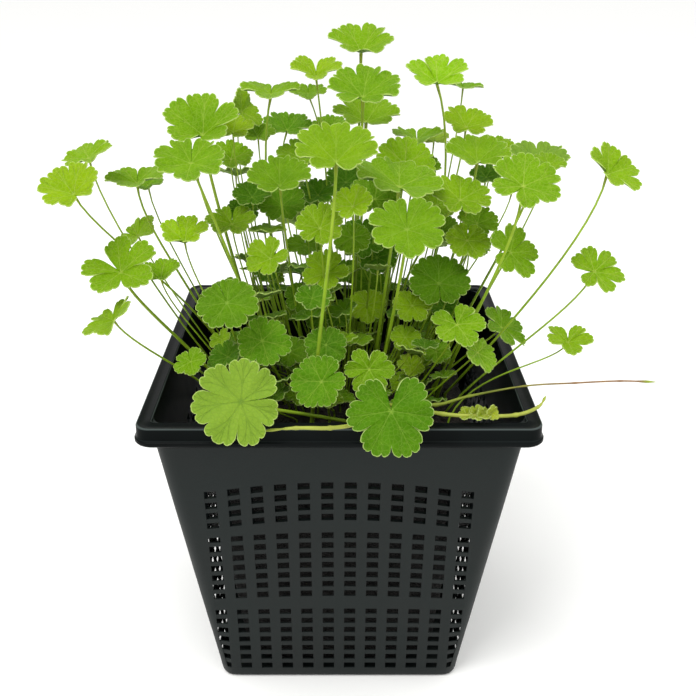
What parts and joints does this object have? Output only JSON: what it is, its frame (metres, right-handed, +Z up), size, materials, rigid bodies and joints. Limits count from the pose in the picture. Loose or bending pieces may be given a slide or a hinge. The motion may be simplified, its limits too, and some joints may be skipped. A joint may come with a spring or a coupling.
{
  "type": "potted marsh pennywort",
  "caption": "Marsh pennywort with round lobed leaves on thin upright stalks, growing from a root ball in a tapered square mesh pond basket with a broad rim",
  "frame": {"origin": "middle of the basket's flat base, on the table", "axes": "+Z up through the basket; -Y is the basket's front, over which the lowest leaves hang; +X is to its right"},
  "size_m": [0.1782, 0.1409, 0.1967],
  "materials": {
    "basket": "dark charcoal moulded plastic with a soft sheen, glossier on the rim",
    "soil": "dark moist peaty soil",
    "leaf": "fresh yellow-green leaf, softly glossy, with pale veins",
    "leaf_deep": "deep green shaded leaf, softly glossy, with pale veins",
    "leaf_pale": "pale grey-green leaf underside, matt",
    "runner": "pale yellow-green fleshy runner with a reddish tip"
  },
  "bodies": {
    "root": {"basket": "basket", "soil": "soil", "runner_1": "runner", "runner_2": "runner", "runner_3": "runner", "leaf_01": "leaf", "leaf_02": "leaf", "leaf_03": "leaf", "leaf_04": "leaf", "leaf_05": "leaf", "leaf_06": "leaf", "leaf_07": "leaf_pale", "leaf_08": "leaf", "leaf_09": "leaf", "leaf_10": "leaf", "leaf_11": "leaf", "leaf_12": "leaf", "leaf_13": "leaf", "leaf_14": "leaf", "leaf_15": "leaf", "leaf_16": "leaf", "leaf_17": "leaf", "leaf_18": "leaf", "leaf_19": "leaf", "leaf_20": "leaf", "leaf_21": "leaf", "leaf_22": "leaf", "leaf_23": "leaf", "leaf_24": "leaf", "leaf_25": "leaf", "leaf_26": "leaf_deep", "leaf_27": "leaf_deep", "leaf_28": "leaf", "leaf_29": "leaf", "leaf_30": "leaf", "leaf_31": "leaf_deep", "leaf_32": "leaf", "leaf_33": "leaf_deep", "leaf_34": "leaf_deep", "leaf_35": "leaf", "leaf_36": "leaf", "leaf_37": "leaf_pale", "leaf_38": "leaf", "leaf_39": "leaf", "leaf_40": "leaf", "leaf_41": "leaf", "leaf_42": "leaf", "leaf_43": "leaf_pale", "leaf_44": "leaf", "leaf_45": "leaf", "leaf_46": "leaf", "leaf_47": "leaf", "leaf_48": "leaf_deep", "leaf_49": "leaf", "leaf_50": "leaf", "leaf_51": "leaf", "rear_tuft_1": "leaf_deep", "rear_tuft_2": "leaf_deep", "rear_tuft_3": "leaf_deep", "rear_tuft_4": "leaf_deep"}
  },
  "joints": []
}
